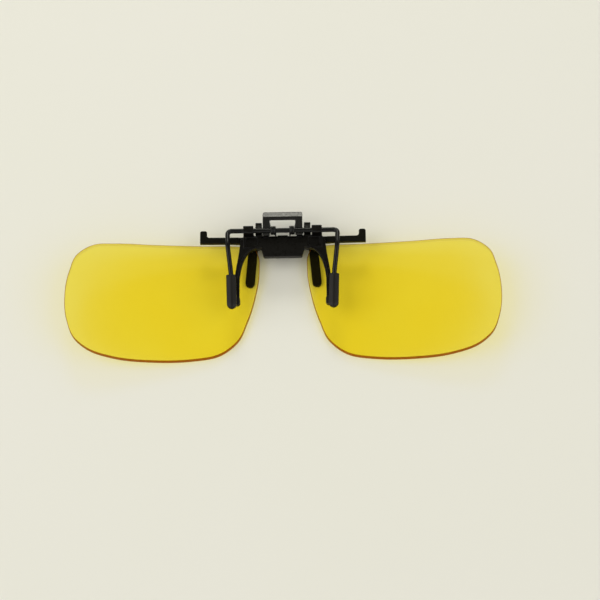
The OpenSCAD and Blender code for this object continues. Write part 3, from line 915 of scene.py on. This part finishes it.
@dataclass
class Claw:
    """The sprung wire claw: one bent wire, two rubber sleeves and the thumb lever."""

    axle_y: float = AXLE_Y
    axle_z: float = AXLE_Z
    wire_radius: float = 0.725
    wire_sides: int = 28
    wire_x: float = 16.6
    kink_x: float = 16.45
    bend: float = 1.4
    bend_steps: int = 10
    drop: float = 5.6
    rise: float = 13.5
    fall: float = 10.5
    arm_run: float = 8.5
    sleeve_x: float = 15.45
    sleeve_fall: float = 4.2
    sleeve_lean: float = 0.028
    sleeve_length: float = 10.6
    sleeve_width: float = 3.0
    sleeve_flat: float = 1.7
    sleeve_sides: int = 48
    sleeve_lap: float = 0.4
    swell: float = 1.125
    ridge_width: float = 0.62
    ridge_cut: float = 0.05
    wide_power: float = 0.55
    high_power: float = 0.45
    body_start: float = 0.8
    body_rings: int = 10
    tip_thin: float = 0.25
    tip_power: float = 0.6
    bore_fit: float = 0.04
    lever_round: float = 0.14
    lever_sharp: float = 15.0
    bore_rings: tuple[tuple[float, float], ...] = ((0.9, 1.0), (0.12, 1.0), (0.0, 1.18))
    mouth_rings: tuple[Point, ...] = ((0.0, 0.93, 0.9), (0.1, 0.985, 0.98), (0.3, 1.0, 1.0))
    tip_turns: tuple[float, ...] = (12, 24, 36, 48, 58, 68, 76, 82, 86.5)
    wire: BlackOxideWire = BlackOxideWire(
        "black_oxide_wire", (0.0012, 0.0012, 0.001), (0.006, 0.006, 0.0055)
    )
    rubber: MouldedRubber = MouldedRubber(
        "sleeve_rubber_black", (0.0035, 0.0028, 0.0022), (0.008, 0.0065, 0.005)
    )
    plastic: MouldedPlastic = MouldedPlastic(
        "lever_plastic_black", (0.002, 0.002, 0.0016), (0.0035, 0.0035, 0.0026), 0.24, 0.55, 0.0004
    )

    @property
    def kink_z(self) -> float:
        """Height of the kink where the wire turns down to its sleeve."""
        return self.axle_z + self.drop * math.tan(math.radians(self.rise))

    @property
    def mouth(self) -> np.ndarray:
        """The point where the wire enters its right sleeve."""
        z = self.kink_z - self.arm_run * math.tan(math.radians(self.fall))
        return np.array([self.sleeve_x, self.axle_y - self.drop - self.arm_run, z])

    @property
    def along(self) -> np.ndarray:
        """The direction in which the right sleeve points."""
        run = np.array([-self.sleeve_lean, -1.0, -math.tan(math.radians(self.sleeve_fall))])
        return run / np.linalg.norm(run)

    def wire_path(self) -> list[np.ndarray]:
        """Middle line of the whole wire.

        Returns:
            The points, from the left sleeve to the right one.
        """
        half = [
            np.array([self.wire_x, self.axle_y, self.axle_z]),
            np.array([self.kink_x, self.axle_y - self.drop, self.kink_z]),
            self.mouth,
            self.mouth + (self.sleeve_length - self.sleeve_width / 2) * self.along,
        ]
        return rounded_path([p * MIRROR_X for p in half[::-1]] + half, self.bend, self.bend_steps)

    def sleeve_section(self, angles: np.ndarray) -> tuple[np.ndarray, np.ndarray]:
        """Cross-section of a sleeve: flat sides with a ridge over the wire.

        Args:
            angles: the angles of its corners.

        Returns:
            The widths and the heights of the corners, in mm.
        """
        cos, sin = np.cos(angles), np.sin(angles)
        half_width, half_flat = self.sleeve_width / 2, self.sleeve_flat / 2
        wide = half_width * np.sign(cos) * np.abs(cos) ** self.wide_power
        high = half_flat * np.sign(sin) * np.abs(sin) ** self.high_power
        ridge = (self.swell - half_flat) * np.exp(-((wide / self.ridge_width) ** 2))
        return wide, high + np.sign(sin) * ridge * (np.abs(sin) > self.ridge_cut)

    def sleeve_rings(self) -> list[Point]:
        """The outer rings of a sleeve, from its mouth to its round tip.

        Returns:
            The distance from the mouth, share of the width and share of the height of each ring.
        """
        tip = self.sleeve_width / 2
        straight = self.sleeve_length - tip
        rings = list(self.mouth_rings)
        rings += [(depth, 1.0, 1.0) for depth in np.linspace(self.body_start, straight, self.body_rings)]
        for turn in np.radians(self.tip_turns):
            high = self.tip_thin + (1 - self.tip_thin) * math.cos(turn) ** self.tip_power
            rings.append((straight + tip * math.sin(turn), math.cos(turn), high))
        return rings

    def build_sleeve(self, side: Side, material: bpy.types.Material) -> bpy.types.Object:
        """Builds one sleeve: flat sides, a ridge over the wire, a round end and an open mouth.

        Args:
            side: the side that the sleeve stands on.
            material: its rubber.

        Returns:
            The sleeve, placed and dressed.
        """
        run = self.along
        top = self.mouth + self.sleeve_lap * run
        across = np.cross(run, np.array([0.0, 0.0, 1.0]))
        across /= np.linalg.norm(across)
        up = np.cross(across, run)
        angles = round_angles(self.sleeve_sides)
        section = list(zip(*self.sleeve_section(angles)))
        points = []
        for depth, share in self.bore_rings:
            circle = (self.wire_radius + self.bore_fit) * share
            points += [top + depth * run + circle * (math.cos(a) * across + math.sin(a) * up) for a in angles]
        for depth, wide, high in self.sleeve_rings():
            points += [top + depth * run + wide * x * across + high * z * up for x, z in section]
        count = len(points) // self.sleeve_sides
        faces = strips(count, self.sleeve_sides)
        faces.append([(count - 1) * self.sleeve_sides + k for k in range(self.sleeve_sides)])
        points = np.array(points)
        points[:, 0] *= side.value
        piece = make_piece(f"wire_sleeve_{side.word}", points, faces, [material])
        return settle(piece, Body.CLAW, "rubber", f"sleeve_{side.word}")

    def build(self) -> None:
        """Builds the wire, the sleeves and the thumb lever."""
        tube = swept_tube(
            "claw_wire_bent", self.wire_path(), self.wire_radius, self.wire_sides, self.wire.make()
        )
        settle(tube, Body.CLAW, "wire", "claw_wire")
        rubber = self.rubber.make()
        for side in Side:
            self.build_sleeve(side, rubber)
        lever = rounded_copy(
            "thumb_lever", "lever_moulding", self.lever_round, self.plastic.make(), self.lever_sharp
        )
        settle(lever, Body.CLAW, "lever_plastic", "thumb_lever")


@dataclass
class ReturnSpring:
    """Double torsion spring round the axle, which bends between the tongue and the lever."""

    radius: float = 0.215
    sides: int = 14
    coil_radius: float = 1.16
    pitch: float = 0.46
    whole_turns: int = 3
    turn_steps: int = 28
    coil_x: float = 3.52
    lever_angle: float = 12.0
    leg: float = 2.9
    leg_out: float = 0.55
    leg_start: float = 0.2
    hook: float = 1.4
    hook_bend: float = 0.45
    bow_bend: float = 0.4
    bow_reach: float = 1.7
    edge_gap: float = 0.12
    under_gap: float = 0.1
    leave_drop: float = 0.15
    lead_shares: tuple[float, float] = (0.7, 0.85)
    bow_drop: float = 0.6
    axle_y: float = AXLE_Y
    axle_z: float = AXLE_Z
    tongue_top: float = AXLE_Y - 0.775
    tongue_low_z: float = 5.9
    tongue_back_z: float = 7.6
    still_y: float = 0.2
    moving_y: float = 1.6
    steel: DrawnSteel = DrawnSteel(
        "dark_spring_steel", (0.035, 0.035, 0.034), (0.015, 0.015, 0.015), 0.3
    )

    def on_coil(self, angle: float, x: float) -> np.ndarray:
        """A point of the coil.

        Args:
            angle: its angle round the axle, in degrees.
            x: its distance along the axle, in mm.

        Returns:
            The point.
        """
        turn = math.radians(angle)
        y = self.axle_y + self.coil_radius * math.cos(turn)
        return np.array([x, y, self.axle_z + self.coil_radius * math.sin(turn)])

    def half(self) -> list[np.ndarray]:
        """Middle line of the right half.

        Returns:
            The points, from the hook under the lever to the middle of the bow.
        """
        lever = math.radians(self.lever_angle)
        slope = np.array([0.0, math.cos(lever), math.sin(lever)])
        first = self.lever_angle - 90
        drop_y = self.tongue_top + self.radius + self.edge_gap
        under_z = self.tongue_low_z - self.radius - self.under_gap
        bow_y = self.tongue_top - self.bow_reach
        inward = np.array([drop_y - self.axle_y, self.tongue_back_z - self.leave_drop - self.axle_z])
        leave = math.atan2(inward[1], inward[0]) + math.acos(self.coil_radius / np.linalg.norm(inward))
        turns = (first - math.degrees(leave)) / 360 + self.whole_turns
        start = self.on_coil(first, self.coil_x)
        leg_end = start + self.leg * slope + np.array([self.leg_out, 0, 0])
        hook_end = leg_end + np.array([self.hook - self.leg_out, 0, 0])
        x = self.coil_x - turns * self.pitch
        steps = math.ceil(turns * self.turn_steps)
        wound = [turns * i / steps for i in range(steps + 1)]
        lead_y, lead_z = inward * self.lead_shares
        bow = [
            (x, self.axle_y + lead_y, self.axle_z + lead_z),
            (x, drop_y, self.tongue_back_z - self.bow_drop),
            (x, drop_y, under_z),
            (x, bow_y, under_z),
            (0, bow_y, under_z),
        ]
        return [
            *rounded_path([hook_end, leg_end, start + self.leg_start * slope], self.hook_bend),
            *(self.on_coil(first - 360 * turn, self.coil_x - self.pitch * turn) for turn in wound),
            *rounded_path(bow, self.bow_bend),
        ]

    def build(self) -> None:
        """Builds the spring as one wire in its rest shape, attached to neither body, in place of the imported
        spring.
        """
        half = self.half()
        path = half + [p * MIRROR_X for p in half[-2::-1]]
        piece = swept_tube("return_spring", path, self.radius, self.sides, self.steel.make())
        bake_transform(piece)
        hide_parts("torsion_spring")
        LOG.info("%s bends between clamp and claw", piece.name)


# Studio


@dataclass(frozen=True)
class Lamp:
    """A soft rectangular lamp that looks at the part, measured in metres and watts."""

    name: str
    place: Point
    size: tuple[float, float]
    power: float
    colour: Colour

    def hang(self) -> None:
        """Hangs the lamp."""
        data = bpy.data.lights.new(self.name, "AREA")
        data.shape = "RECTANGLE"
        data.size, data.size_y = self.size
        data.energy, data.color = self.power, self.colour
        lamp = bpy.data.objects.new(self.name, data)
        lamp.location = self.place
        lamp.rotation_euler = Vector(self.place).to_track_quat("Z", "Y").to_euler()
        bpy.context.scene.collection.objects.link(lamp)


@dataclass
class Studio:
    """The table, the soft lights and the camera of the photograph."""

    table: PaleTable = PaleTable("pale_table", (0.79, 0.78, 0.722), (0.782, 0.776, 0.705))
    table_size: float = 6.0
    table_drop: float = 0.00002
    lamps: tuple[Lamp, ...] = (
        Lamp("window", (-0.04, 0.83, 0.58), (0.34, 0.22), 1.85, (1.0, 0.99, 0.87)),
        Lamp("left lamp", (-0.75, -0.05, 0.82), (1.0, 1.0), 5.5, (1.0, 0.99, 0.965)),
        Lamp("right lamp", (0.8, -0.15, 0.75), (1.0, 1.0), 3.7, (1.0, 0.99, 0.965)),
    )
    walls: Colour = (0.96, 0.95, 0.93)
    ceiling: Colour = (0.2, 0.195, 0.15)
    dark_pole: Point = (0.0, 0.43, 0.903)
    distance: float = 700.0
    elevation: float = 66.35
    lean: float = 0.025
    roll: float = 0.9
    aim: Point = (5.0, -3.56, 3.0)
    mm_per_pixel: float = 0.3005
    image_size: int = 600
    sensor: float = 36.0

    def lay_table(self) -> None:
        """Lays the table under the part."""
        bpy.ops.mesh.primitive_plane_add(size=self.table_size, location=(0, 0, -self.table_drop))
        table = bpy.context.object
        table.name = "table"
        table.data.materials.append(self.table.make())

    def light(self) -> None:
        """Lights the part: a window behind it, a lamp on each side and a room that is darker overhead."""
        for lamp in self.lamps:
            lamp.hang()
        world = bpy.data.worlds.new("room")
        world.use_nodes = True
        tree = world.node_tree
        height = tree.nodes.new("ShaderNodeVectorMath")
        height.operation = "DOT_PRODUCT"
        tree.links.new(tree.nodes.new("ShaderNodeTexCoord").outputs["Generated"], height.inputs[0])
        height.inputs[1].default_value = self.dark_pole
        ramp = tree.nodes.new("ShaderNodeValToRGB")
        ramp.color_ramp.elements[0].color = (*self.walls, 1.0)
        ramp.color_ramp.elements[1].color = (*self.ceiling, 1.0)
        tree.links.new(height.outputs["Value"], ramp.inputs["Fac"])
        tree.links.new(ramp.outputs["Color"], tree.nodes["Background"].inputs["Color"])
        bpy.context.scene.world = world

    def set_camera(self) -> None:
        """Sets the camera at the photograph's angle and framing."""
        rise = math.radians(self.elevation)
        back = Vector((self.lean, -math.cos(rise), math.sin(rise))).normalized()
        across = (Vector((1, 0, 0)) - back * back.x).normalized()
        across = Matrix.Rotation(-math.radians(self.roll), 3, back) @ across
        turn = Matrix((across, back.cross(across), back)).transposed()
        place = (Vector(self.aim) + back * self.distance) * MM
        data = bpy.data.cameras.new("camera")
        data.sensor_width = self.sensor
        data.lens = self.sensor * self.distance / (self.image_size * self.mm_per_pixel)
        data.clip_start, data.clip_end = 0.01, 20.0
        camera = bpy.data.objects.new("camera", data)
        camera.matrix_world = Matrix.Translation(place) @ turn.to_4x4()
        bpy.context.scene.collection.objects.link(camera)
        bpy.context.scene.camera = camera

    def build(self) -> None:
        """Builds the table, the lights and the camera."""
        self.lay_table()
        self.light()
        self.set_camera()
        bpy.context.scene.view_settings.view_transform = "Standard"


def main() -> None:
    """Builds every sub-assembly and the studio, in order."""
    logging.basicConfig(level=logging.INFO, format="%(message)s")
    for part in (LensPair(), LensBridge(), ClampBase(), Claw(), ReturnSpring(), Studio()):
        part.build()
        LOG.info("%s is built", type(part).__name__)


if __name__ == "__main__":
    main()
